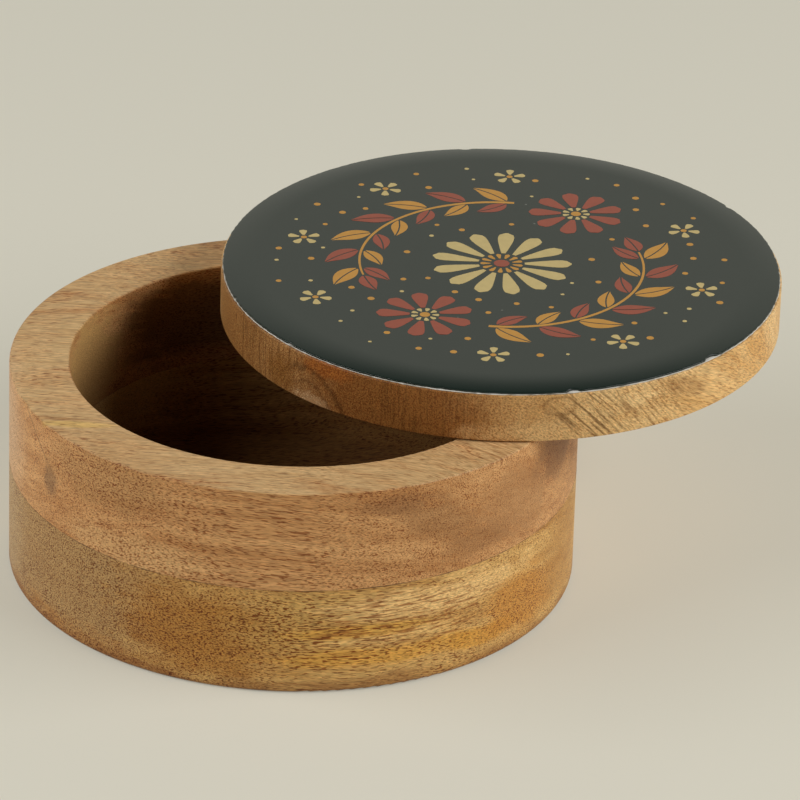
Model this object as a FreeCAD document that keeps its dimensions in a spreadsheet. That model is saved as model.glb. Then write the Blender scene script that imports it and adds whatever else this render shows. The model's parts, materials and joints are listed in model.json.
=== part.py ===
import FreeCAD
import Part
import Sketcher
import enum
import os

# Round wooden box with a swivelling lid that is enamelled on its top.
# Two boards are glued face to face and turned to a straight-sided bowl. The lid is a third
# board, as wide as the box, and turns on one screw that stands in the rear of the rim.
# Frame: millimetres, +Z up, origin at the middle of the foot, +Y through the lid's pivot.
# The lid is drawn swung open, anticlockwise seen from above.

SIZES = {
    # Turned box
    "body_diameter": 127.0,
    "wall_thickness": 13.3,
    "lower_height": 25.3,
    "upper_height": 23.6,
    "floor_thickness": 9.5,
    "cove_radius": 12.0,
    "cove_limit_share": 0.9,
    "foot_easing": 1.2,
    "rim_easing": 0.5,
    # Lid board, set in a little from the side of the box, and the angle that it stands open at
    "lid_inset": 0.4,
    "lid_thickness": 11.1,
    "lid_easing": 0.3,
    "open_angle": 55.17,
    # White ground and charcoal enamel, poured on the lid
    "ground_thickness": 0.25,
    "enamel_thickness": 1.1,
    "enamel_edge_thickness": 0.35,
    "enamel_margin": 8.0,
    "enamel_setback": 0.05,
    # Pivot screw with its washer and the plug over its head
    "seat_thickness": 4.0,
    "head_diameter": 8.0,
    "head_thickness": 2.2,
    "slot_width": 1.2,
    "slot_depth": 1.0,
    "shank_diameter": 4.0,
    "shank_depth": 2.5,
    "core_diameter": 2.8,
    "thread_length": 13.0,
    "thread_pitch": 1.8,
    "thread_base_share": 0.6,
    "thread_crest_share": 0.12,
    "thread_root_share": 0.3,
    "tip_length": 2.2,
    "washer_diameter": 10.0,
    "washer_thickness": 0.3,
    # Clearances, and the length by which a cut runs past the face that it starts from
    "running_clearance": 0.05,
    "head_clearance": 0.3,
    "tip_clearance": 1.0,
    "glue_gap": 0.05,
    "overrun": 1.0,
}

# Sketcher's numbers for the two axes; the horizontal one starts at the origin
H_AXIS_INDEX = -1
V_AXIS_INDEX = -2

ZERO = "0"
SAME_PLACE_SHARE = 1e-4


class Spot(enum.IntEnum):
    """Sketcher's numbers for the ends and the middle of an edge."""

    START = enum.auto()
    END = enum.auto()
    MIDDLE = enum.auto()


doc = FreeCAD.newDocument("round_box")
sheet = doc.addObject("Spreadsheet::Sheet", "Sizes")
for row, (alias, number) in enumerate(SIZES.items(), start=1):
    sheet.set(f"A{row}", alias)
    sheet.set(f"B{row}", str(number))
    sheet.setAlias(f"B{row}", alias)
doc.recompute()

# Sizes that follow from the driving ones
BODY_RADIUS = "Sizes.body_diameter / 2"
BORE_RADIUS = f"({BODY_RADIUS} - Sizes.wall_thickness)"
COVE_ROOM = "Sizes.cove_limit_share * (Sizes.lower_height - Sizes.floor_thickness)"
COVE_RADIUS = f"min(Sizes.cove_radius; {COVE_ROOM})"
RIM_HEIGHT = "(Sizes.lower_height + Sizes.upper_height)"
PIVOT_RADIUS = "(Sizes.body_diameter - Sizes.wall_thickness) / 2"
LID_BASE = f"({RIM_HEIGHT} + Sizes.washer_thickness)"
LID_RADIUS = f"({BODY_RADIUS} - Sizes.lid_inset)"
GROUND_RADIUS = f"({LID_RADIUS} - Sizes.lid_easing)"
ENAMEL_RADIUS = f"({GROUND_RADIUS} - Sizes.enamel_setback)"
SHANK_BORE = "(Sizes.shank_diameter / 2 + Sizes.running_clearance)"
HEAD_BORE = "(Sizes.head_diameter / 2 + Sizes.head_clearance)"
SCREW_DEPTH = "(Sizes.shank_depth + Sizes.thread_length + Sizes.tip_length)"
HEAD_BASE = f"({SCREW_DEPTH} + Sizes.washer_thickness + Sizes.seat_thickness + Sizes.running_clearance)"
HEAD_TOP_IN_LID = "(Sizes.seat_thickness + Sizes.running_clearance + Sizes.head_thickness)"
PLUG_BASE = f"({HEAD_TOP_IN_LID} + Sizes.head_clearance)"


def value(expression):
    """Work out an expression of sheet names as a plain number."""
    return float(sheet.evalExpression(expression))


def new_body(label):
    """Add an empty body that is named for its piece."""
    body = doc.addObject("PartDesign::Body", label)
    body.Label = label
    return body


def new_sketch(body, name, role, lift=ZERO):
    """Add a sketch on one of the body's own origin planes, raised by the expression lift."""
    plane = next(item for item in body.Origin.OriginFeatures if item.Role == role)
    sketch = body.newObject("Sketcher::SketchObject", name)
    sketch.AttachmentSupport = [(plane, "")]
    sketch.MapMode = "FlatFace"
    if lift != ZERO:
        sketch.setExpression("AttachmentOffset.Base.z", lift)
    return sketch


def bind(sketch, kind, edge, spot, expression):
    """Tie one coordinate of a point to an expression, or lay the point on an axis for zero."""
    if expression == ZERO:
        axis = V_AXIS_INDEX if kind == "DistanceX" else H_AXIS_INDEX
        sketch.addConstraint(Sketcher.Constraint("PointOnObject", edge, spot, axis))
        return
    rule = Sketcher.Constraint(kind, H_AXIS_INDEX, Spot.START, edge, spot, value(expression))
    number = sketch.addConstraint(rule)
    sketch.setExpression(f"Constraints[{number}]", expression)


def vector(x, y):
    """Work out a point of a sketch from its two expressions."""
    return FreeCAD.Vector(value(x), value(y), 0)


def draw_outline(sketch, corners, bend=None):
    """Draw a closed outline anticlockwise through corners, which are pairs of expressions.

    The edge from the corner bend[0] is an arc about the point bend[1]; the others are straight.
    """
    for start, end in zip(corners, corners[1:] + corners[:1]):
        if bend and start == bend[0]:
            middle = vector(*bend[1])
            circle = Part.Circle(middle, FreeCAD.Vector(0, 0, 1), (vector(*start) - middle).Length)
            angles = [circle.parameter(vector(*spot)) for spot in (start, end)]
            sketch.addGeometry(Part.ArcOfCircle(circle, *angles))
        else:
            sketch.addGeometry(Part.LineSegment(vector(*start), vector(*end)))
    edges = list(range(len(corners)))
    for before, edge in zip(edges[-1:] + edges[:-1], edges):
        x, y = corners[edge]
        sketch.addConstraint(Sketcher.Constraint("Coincident", before, Spot.END, edge, Spot.START))
        bind(sketch, "DistanceX", edge, Spot.START, x)
        bind(sketch, "DistanceY", edge, Spot.START, y)
    if bend:
        bind(sketch, "DistanceX", corners.index(bend[0]), Spot.MIDDLE, bend[1][0])


def draw_pivot_circle(sketch, radius):
    """Draw a circle of the given radius about the pivot's place."""
    centre = vector(ZERO, PIVOT_RADIUS)
    edge = sketch.addGeometry(Part.Circle(centre, FreeCAD.Vector(0, 0, 1), value(radius)))
    bind(sketch, "DistanceX", edge, Spot.MIDDLE, ZERO)
    bind(sketch, "DistanceY", edge, Spot.MIDDLE, PIVOT_RADIUS)
    number = sketch.addConstraint(Sketcher.Constraint("Radius", edge, value(radius)))
    sketch.setExpression(f"Constraints[{number}]", radius)


def turn(body, name, corners, bend=None):
    """Turn an outline of radii and heights once round the body's Z axis, as on a lathe."""
    sketch = new_sketch(body, f"{name}_outline", "XZ_Plane")
    draw_outline(sketch, corners, bend)
    solid = body.newObject("PartDesign::Revolution", name)
    solid.Profile = sketch
    solid.ReferenceAxis = (sketch, ["V_Axis"])
    doc.recompute()
    return solid


def require_cut(cut, before):
    """Stop if a cut took nothing away."""
    if not cut.Shape.Volume < before:
        raise RuntimeError(f"{cut.Name} cuts nothing")


def bore_at_pivot(body, name, radius, top, depth):
    """Bore a round hole down from the height top at the pivot's place."""
    before = body.Shape.Volume
    sketch = new_sketch(body, f"{name}_circle", "XY_Plane", f"{top} + Sizes.overrun")
    draw_pivot_circle(sketch, radius)
    pocket = body.newObject("PartDesign::Pocket", name)
    pocket.Profile = sketch
    pocket.setExpression("Length", f"{depth} + Sizes.overrun")
    doc.recompute()
    require_cut(pocket, before)
    return pocket


def ease(body, name, base, rings, radius):
    """Round the circular edges of base that are given as pairs of radius and height."""
    near = SAME_PLACE_SHARE * value("Sizes.body_diameter")
    wanted = [(value(ring), value(height)) for ring, height in rings]
    names = []
    for number, edge in enumerate(base.Shape.Edges, start=1):
        if not isinstance(edge.Curve, Part.Circle):
            continue
        found = (edge.Curve.Radius, edge.Curve.Center.z)
        if any(abs(found[0] - ring) < near and abs(found[1] - height) < near for ring, height in wanted):
            names.append(f"Edge{number}")
    fillet = body.newObject("PartDesign::Fillet", name)
    fillet.Base = (base, names)
    fillet.setExpression("Radius", radius)
    doc.recompute()
    return fillet


def make_lower_bowl():
    """Lower board: a disc hollowed to a flat floor, with a cove between floor and wall."""
    body = new_body("lower_bowl")
    corners = [
        (ZERO, ZERO),
        (BODY_RADIUS, ZERO),
        (BODY_RADIUS, "Sizes.lower_height"),
        (BORE_RADIUS, "Sizes.lower_height"),
        (BORE_RADIUS, "Sizes.floor_thickness"),
        (ZERO, "Sizes.floor_thickness"),
    ]
    bowl = turn(body, "bowl_turning", corners)
    coved = ease(body, "bowl_cove", bowl, [(BORE_RADIUS, "Sizes.floor_thickness")], COVE_RADIUS)
    ease(body, "foot_edge", coved, [(BODY_RADIUS, ZERO)], "Sizes.foot_easing")
    return body


def make_upper_ring():
    """Upper board: a plain ring glued on the lower one, bored at the rear for the pivot screw."""
    body = new_body("upper_ring")
    corners = [
        (BORE_RADIUS, ZERO),
        (BODY_RADIUS, ZERO),
        (BODY_RADIUS, "Sizes.upper_height"),
        (BORE_RADIUS, "Sizes.upper_height"),
    ]
    ring = turn(body, "ring_turning", corners)
    rim_edges = [(BODY_RADIUS, "Sizes.upper_height"), (BORE_RADIUS, "Sizes.upper_height")]
    ease(body, "rim_edges", ring, rim_edges, "Sizes.rim_easing")
    bore_at_pivot(body, "shank_bore", SHANK_BORE, "Sizes.upper_height", "Sizes.shank_depth")
    pilot_depth = f"{SCREW_DEPTH} + Sizes.tip_clearance"
    bore_at_pivot(body, "pilot_bore", "Sizes.core_diameter / 2", "Sizes.upper_height", pilot_depth)
    body.setExpression("Placement.Base.z", "Sizes.lower_height")
    return body


def place_on_lid(body, height):
    """Swing a piece that is drawn about the lid's own axis open about the pivot."""
    body.setExpression("Placement.Base.x", f"{PIVOT_RADIUS} * sin(Sizes.open_angle)")
    body.setExpression("Placement.Base.y", f"{PIVOT_RADIUS} * (1 - cos(Sizes.open_angle))")
    body.setExpression("Placement.Base.z", height)
    body.setExpression("Placement.Rotation.Angle", "Sizes.open_angle")


def make_lid_board():
    """Lid: a round board with a hole for the screw's shank and a wider one above for its head."""
    body = new_body("lid_board")
    corners = [
        (ZERO, ZERO),
        (LID_RADIUS, ZERO),
        (LID_RADIUS, "Sizes.lid_thickness"),
        (ZERO, "Sizes.lid_thickness"),
    ]
    board = turn(body, "lid_turning", corners)
    lid_edges = [(LID_RADIUS, ZERO), (LID_RADIUS, "Sizes.lid_thickness")]
    ease(body, "lid_edges", board, lid_edges, "Sizes.lid_easing")
    head_depth = "Sizes.lid_thickness - Sizes.seat_thickness"
    bore_at_pivot(body, "head_bore", HEAD_BORE, "Sizes.lid_thickness", head_depth)
    bore_at_pivot(body, "shank_hole", SHANK_BORE, "Sizes.seat_thickness", "Sizes.seat_thickness + Sizes.overrun")
    place_on_lid(body, LID_BASE)
    return body


def make_enamel_ground():
    """White ground coat that covers the lid's top and shows as a fine line at its edge."""
    body = new_body("enamel_ground")
    corners = [
        (ZERO, ZERO),
        (GROUND_RADIUS, ZERO),
        (GROUND_RADIUS, "Sizes.ground_thickness"),
        (ZERO, "Sizes.ground_thickness"),
    ]
    turn(body, "ground_coat", corners)
    place_on_lid(body, f"{LID_BASE} + Sizes.lid_thickness")
    return body


def make_enamel_face():
    """Poured enamel: flat in the middle, turned down to a thin edge round its margin."""
    body = new_body("enamel_face")
    margin_start = f"({ENAMEL_RADIUS} - Sizes.enamel_margin)"
    drop = "(Sizes.enamel_thickness - Sizes.enamel_edge_thickness)"
    margin_bend = f"(Sizes.enamel_margin ^ 2 + {drop} ^ 2) / (2 * {drop})"
    margin_end = (ENAMEL_RADIUS, "Sizes.enamel_edge_thickness")
    corners = [
        (ZERO, ZERO),
        (ENAMEL_RADIUS, ZERO),
        margin_end,
        (margin_start, "Sizes.enamel_thickness"),
        (ZERO, "Sizes.enamel_thickness"),
    ]
    bend_middle = (margin_start, f"Sizes.enamel_thickness - {margin_bend}")
    turn(body, "enamel_pour", corners, bend=(margin_end, bend_middle))
    place_on_lid(body, f"{LID_BASE} + Sizes.lid_thickness + Sizes.ground_thickness")
    return body


def make_screw_plug():
    """Wooden plug, glued in over the screw's head and flush with the top of the lid board."""
    body = new_body("screw_plug")
    sketch = new_sketch(body, "plug_circle", "XY_Plane", PLUG_BASE)
    draw_pivot_circle(sketch, f"{HEAD_BORE} - Sizes.glue_gap")
    pad = body.newObject("PartDesign::Pad", "plug_length")
    pad.Profile = sketch
    pad.setExpression("Length", f"Sizes.lid_thickness - {PLUG_BASE}")
    place_on_lid(body, LID_BASE)
    return body


def make_pivot_screw():
    """Slotted wood screw: tip, thread and smooth shank in the rim, flat head inside the lid."""
    body = new_body("pivot_screw")
    core = "Sizes.core_diameter / 2"
    shank = "Sizes.shank_diameter / 2"
    thread_end = "(Sizes.tip_length + Sizes.thread_length)"
    head_top = f"({HEAD_BASE} + Sizes.head_thickness)"
    corners = [
        (ZERO, ZERO),
        (core, "Sizes.tip_length"),
        (core, thread_end),
        (shank, thread_end),
        (shank, HEAD_BASE),
        ("Sizes.head_diameter / 2", HEAD_BASE),
        ("Sizes.head_diameter / 2", head_top),
        (ZERO, head_top),
    ]
    turn(body, "screw_turning", corners)

    base_width = "(Sizes.thread_base_share * Sizes.thread_pitch)"
    crest_width = "(Sizes.thread_crest_share * Sizes.thread_pitch)"
    root = f"({core} - Sizes.thread_root_share * ({shank} - {core}))"
    ridge = new_sketch(body, "thread_ridge", "XZ_Plane")
    ridge_corners = [
        (root, "Sizes.tip_length"),
        (shank, f"Sizes.tip_length + ({base_width} - {crest_width}) / 2"),
        (shank, f"Sizes.tip_length + ({base_width} + {crest_width}) / 2"),
        (root, f"Sizes.tip_length + {base_width}"),
    ]
    draw_outline(ridge, ridge_corners)
    thread = body.newObject("PartDesign::AdditiveHelix", "thread")
    thread.Profile = ridge
    thread.ReferenceAxis = (ridge, ["V_Axis"])
    thread.Mode = "pitch-height-angle"
    thread.setExpression("Pitch", "Sizes.thread_pitch")
    thread.setExpression("Height", f"Sizes.thread_length - {base_width}")
    doc.recompute()

    before = body.Shape.Volume
    slot = new_sketch(body, "slot_outline", "XY_Plane", f"{head_top} + Sizes.overrun")
    half_length = "(Sizes.head_diameter / 2 + Sizes.overrun)"
    half_width = "(Sizes.slot_width / 2)"
    slot_corners = [
        (f"-{half_length}", f"-{half_width}"),
        (half_length, f"-{half_width}"),
        (half_length, half_width),
        (f"-{half_length}", half_width),
    ]
    draw_outline(slot, slot_corners)
    cut = body.newObject("PartDesign::Pocket", "slot")
    cut.Profile = slot
    cut.setExpression("Length", "Sizes.slot_depth + Sizes.overrun")
    doc.recompute()
    require_cut(cut, before)
    body.setExpression("Placement.Base.y", PIVOT_RADIUS)
    body.setExpression("Placement.Base.z", f"{RIM_HEIGHT} - {SCREW_DEPTH}")
    return body


def make_pivot_washer():
    """Thin washer on the rim that carries the lid and lets it turn."""
    body = new_body("pivot_washer")
    corners = [
        (SHANK_BORE, ZERO),
        ("Sizes.washer_diameter / 2", ZERO),
        ("Sizes.washer_diameter / 2", "Sizes.washer_thickness"),
        (SHANK_BORE, "Sizes.washer_thickness"),
    ]
    turn(body, "washer_blank", corners)
    body.setExpression("Placement.Base.y", PIVOT_RADIUS)
    body.setExpression("Placement.Base.z", RIM_HEIGHT)
    return body


pieces = [
    make_lower_bowl(),
    make_upper_ring(),
    make_pivot_screw(),
    make_pivot_washer(),
    make_lid_board(),
    make_screw_plug(),
    make_enamel_ground(),
    make_enamel_face(),
]
doc.recompute()

for item in doc.Objects:
    if "Invalid" in item.State or "Error" in item.State:
        raise RuntimeError(f"{item.Name} did not recompute: {item.State}")
for piece in pieces:
    if piece.Shape.isNull() or not piece.Shape.isValid():
        raise RuntimeError(f"{piece.Label} has no valid shape")

os.makedirs("parts", exist_ok=True)
for piece in pieces:
    piece.Shape.exportStep(os.path.join("parts", f"{piece.Label}.step"))
    print(f"{piece.Label}: {piece.Shape.Volume:.1f} mm3, {len(piece.Shape.Solids)} solid")
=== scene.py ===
"""The looks of a round mango-wood box whose enamelled lid swings aside on a hidden screw.

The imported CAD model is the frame. Its wood and its hardware keep their own meshes and get their
finishes here. The enamel and the white ground under it are replaced by turned surfaces with a
wavy, chipped edge, two thin beads of glue mark the seam between the boards, and a printed wreath
of leaves and blossoms lies on the enamel.

Sizes are millimetres in the classes and metres in the meshes. Z is up and the table is z = 0.
"""

import json
import logging
import math
from dataclasses import dataclass, field
from enum import Enum
from typing import Any

import bpy
import numpy as np
from bpy.types import Material, NodeOutputs, NodeSocket, NodeTree, Object
from mathutils import Matrix, Vector

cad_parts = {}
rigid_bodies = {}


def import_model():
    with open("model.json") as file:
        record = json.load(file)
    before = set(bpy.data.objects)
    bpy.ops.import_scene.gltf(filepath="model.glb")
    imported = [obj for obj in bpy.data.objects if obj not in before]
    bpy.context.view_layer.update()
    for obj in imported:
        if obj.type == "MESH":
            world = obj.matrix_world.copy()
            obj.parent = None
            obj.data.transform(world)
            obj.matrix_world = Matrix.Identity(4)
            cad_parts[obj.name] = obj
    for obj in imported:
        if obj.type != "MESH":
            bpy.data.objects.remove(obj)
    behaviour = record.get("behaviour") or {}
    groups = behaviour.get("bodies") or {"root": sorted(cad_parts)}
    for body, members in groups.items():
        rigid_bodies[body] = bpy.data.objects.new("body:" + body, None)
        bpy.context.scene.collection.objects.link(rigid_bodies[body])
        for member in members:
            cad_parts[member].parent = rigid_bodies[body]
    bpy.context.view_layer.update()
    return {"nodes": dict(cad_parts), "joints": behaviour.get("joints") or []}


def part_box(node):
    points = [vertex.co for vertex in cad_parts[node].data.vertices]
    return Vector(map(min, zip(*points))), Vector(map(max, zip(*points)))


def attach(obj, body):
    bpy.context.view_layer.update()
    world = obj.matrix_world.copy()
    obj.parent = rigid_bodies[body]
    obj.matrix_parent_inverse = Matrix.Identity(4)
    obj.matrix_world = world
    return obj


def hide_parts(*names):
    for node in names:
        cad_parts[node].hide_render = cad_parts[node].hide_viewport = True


for leftover in list(bpy.data.objects):
    bpy.data.objects.remove(leftover)
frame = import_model()

MM = 0.001
TURN = 2.0 * math.pi
QUARTER = math.pi / 2.0
LOG = logging.getLogger("enamelled_box")

Array = np.ndarray
Pair = tuple[float, float]
Triple = tuple[float, float, float]
FLAT: Triple = (0.0, 0.0, 0.0)

# The colour sockets of a Mix node: its two inputs and its result
MIX_A = 6
MIX_B = 7
MIXED = 2


class Body(Enum):
    """The two CAD bodies that pieces ride on."""

    BOX = "box"
    LID = "lid"


class Slot(Enum):
    """The record's material slot names for the ground and the enamel; nothing here uses them."""

    GROUND = "white_ground"
    ENAMEL = "charcoal_enamel"


class Ink(Enum):
    """The three inks of the print, each with its sRGB colour."""

    GOLD = "#c48a2a"
    CREAM = "#c9b273"
    RED = "#963f26"


def linear(code: str) -> tuple[float, float, float, float]:
    """Turns an sRGB hex colour into linear RGBA.

    Args:
        code: colour such as "#c79f6f".

    Returns:
        Linear red, green and blue, and an alpha of 1.
    """
    parts = (int(code[i:i + 2], 16) / 255.0 for i in (1, 3, 5))
    red, green, blue = (c / 12.92 if c <= 0.04045 else ((c + 0.055) / 1.055) ** 2.4 for c in parts)
    return red, green, blue, 1.0


def add(
    tree: NodeTree, kind: str, inputs: dict[Any, Any] | None = None, **settings: Any
) -> NodeOutputs:
    """Adds a shader node, sets its options and fills its sockets.

    Args:
        tree: node tree that receives the node.
        kind: the node's type, as Blender names it after ShaderNode.
        inputs: socket name or index, each with an output socket to link or a constant to set.
        settings: properties of the node.

    Returns:
        The node's output sockets.
    """
    node = tree.nodes.new("ShaderNode" + kind)
    for key, value in settings.items():
        setattr(node, key, value)
    for key, value in (inputs or {}).items():
        if isinstance(value, NodeSocket):
            tree.links.new(value, node.inputs[key])
        else:
            node.inputs[key].default_value = value
    return node.outputs


def new_material(name: str) -> tuple[Material, NodeTree, NodeSocket]:
    """Makes an empty node material.

    Args:
        name: the real material's name.

    Returns:
        The material, its node tree and the object coordinates in metres.
    """
    material = bpy.data.materials.new(name)
    material.use_nodes = True
    tree = material.node_tree
    tree.nodes.clear()
    return material, tree, add(tree, "TexCoord")["Object"]


def surface(tree: NodeTree, inputs: dict[Any, Any]) -> None:
    """Closes a material with a Principled shader.

    Args:
        tree: the material's node tree.
        inputs: sockets of the Principled shader.
    """
    add(tree, "OutputMaterial", {"Surface": add(tree, "BsdfPrincipled", inputs)["BSDF"]})


def new_piece(
    name: str, points: Array, faces: list[list[int]], finish: Material, smooth: bool = True
) -> Object:
    """Puts computed points and faces into an object at the origin.

    Args:
        name: piece name.
        points: (n, 3) array in metres.
        faces: vertex indices of each face, counter-clockwise seen from outside.
        finish: material of the whole piece.
        smooth: whether its faces are shaded as one smooth surface.

    Returns:
        The linked object.
    """
    mesh = bpy.data.meshes.new(name)
    mesh.from_pydata(points.tolist(), [], faces)
    mesh.polygons.foreach_set("use_smooth", np.full(len(mesh.polygons), smooth))
    mesh.materials.append(finish)
    mesh.update()
    piece = bpy.data.objects.new(name, mesh)
    bpy.context.scene.collection.objects.link(piece)
    return piece


def dress(node: str, finish: Material) -> None:
    """Gives a CAD node its finish.

    Args:
        node: name of the node.
        finish: material for all its faces.
    """
    for slot in frame["nodes"][node].material_slots:
        slot.material = finish
    LOG.info("%s wears %s", node, finish.name)


def angles(count: int) -> Array:
    """Even angles round a circle, the first one 0 and the last one short of a full turn."""
    return np.arange(count) * (TURN / count)


def heading(turn: Array | float) -> Array:
    """Unit vectors in plan at the given angles, in radians."""
    return np.stack([np.cos(turn), np.sin(turn)], axis=-1)


def sine_noise(theta: Array, waves: Array, seed: int) -> Array:
    """A smooth wobble round a circle: the mean of sines of whole-number waves with seeded phases.

    Args:
        theta: angles in radians.
        waves: whole numbers of waves round the circle.
        seed: seed of the phases.

    Returns:
        A value of about -1 to 1 for each angle.
    """
    phases = np.random.default_rng(seed).uniform(0.0, TURN, len(waves))
    return np.sin(theta[:, None] * waves[None, :] + phases[None, :]).sum(axis=1) / math.sqrt(len(waves))


def turned_piece(
    name: str,
    centre: Pair,
    radii: Array,
    heights: Array,
    finish: Material,
    capped: bool,
) -> Object:
    """Sweeps a profile round an upright axis.

    A point is P(s, t) = centre + r(s, t) (cos t, sin t) + z(s, t) up. The profile runs anticlockwise
    as seen with the axis on the left, so the faces look outwards.

    Args:
        name: piece name.
        centre: the axis in plan, in mm.
        radii: (rows, columns) radius of each point, in mm.
        heights: (rows, columns) height of each point, in mm.
        finish: material.
        capped: True if the first and last rows shrink to a point on the axis, False if the last
            row joins the first.

    Returns:
        The linked object.
    """
    rows, columns = radii.shape
    theta = angles(columns)
    x = centre[0] + radii * np.cos(theta)
    y = centre[1] + radii * np.sin(theta)
    points = np.stack([x, y, heights], axis=-1).reshape(-1, 3) * MM
    index = np.arange(rows * columns).reshape(rows, columns)
    beside = np.roll(index, -1, axis=1)
    if not capped:
        above, above_beside = np.roll(index, -1, axis=0), np.roll(beside, -1, axis=0)
        quads = np.stack([index, beside, above_beside, above], axis=-1).reshape(-1, 4)
        return new_piece(name, points, quads.tolist(), finish)
    inner, inner_beside = index[1:-1], beside[1:-1]
    quads = np.stack([inner[:-1], inner_beside[:-1], inner_beside[1:], inner[1:]], axis=-1).reshape(-1, 4)
    start = np.stack([np.zeros(columns, int), inner_beside[0], inner[0]], axis=-1)
    end = np.stack([inner[-1], inner_beside[-1], np.full(columns, index[-1, 0])], axis=-1)
    keep = np.r_[0, index[1:-1].ravel(), index[-1, 0]]
    renumber = np.zeros(rows * columns, int)
    renumber[keep] = np.arange(len(keep))
    faces = renumber[start].tolist() + renumber[quads].tolist() + renumber[end].tolist()
    return new_piece(name, points[keep], faces, finish)


@dataclass(frozen=True)
class Patch:
    """A part of a board with a look of its own, or with painted shade, painted light or a painted sheen: an
    ellipsoid with a streaky edge.

    Attributes:
        centre: its middle at rest, in mm.
        reach: its half lengths along its own axes, in mm.
        colour: sRGB hex colour in the middle.
        strength: how far the colour takes over, from 0 to 1.
        turn: Euler turn of its axes, in degrees.
        pores: how much denser the pores are there, or sparser if negative.
        lines: length and spacing of growth lines along its x axis, in mm, or None for an even colour.
        shell: half width of a growth ring at its skin, as a share of its reach, or 0 for a full patch.
        ragged: how streaky its edge is.
        ends: shares of its reach at which it starts to fade and has faded.
    """

    centre: Triple
    reach: Triple
    colour: str
    strength: float
    turn: Triple = FLAT
    pores: float = 0.0
    lines: Pair | None = None
    shell: float = 0.0
    ragged: float = 1.0
    ends: Pair = (0.5, 1.3)


@dataclass(frozen=True)
class ShadedHollow:
    """The inside of the box, whose wood is raw, with painted shade that darkens it more with depth.

    Attributes:
        radius: radius of the bore, in mm.
        rim: height of the mouth, in mm.
        share: colour of the painted shade that multiplies the wood there, as sRGB hex.
        fade: depth below the mouth at which the painted shade is full, in mm.
        lip: depth at which the painted shade starts, in mm.
        skin: depths in the wall between which the painted shade ends, in mm.
        foot: height above the table below which there is no inside, in mm.
        raw: share of the painted shade at which the wood is fully raw.
        rough: roughness of the raw wood.
    """

    radius: float
    rim: float
    share: str
    fade: float = 44.0
    lip: float = 0.5
    skin: Pair = (0.1, 0.4)
    foot: float = 1.0
    raw: float = 0.4
    rough: float = 0.95


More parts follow.
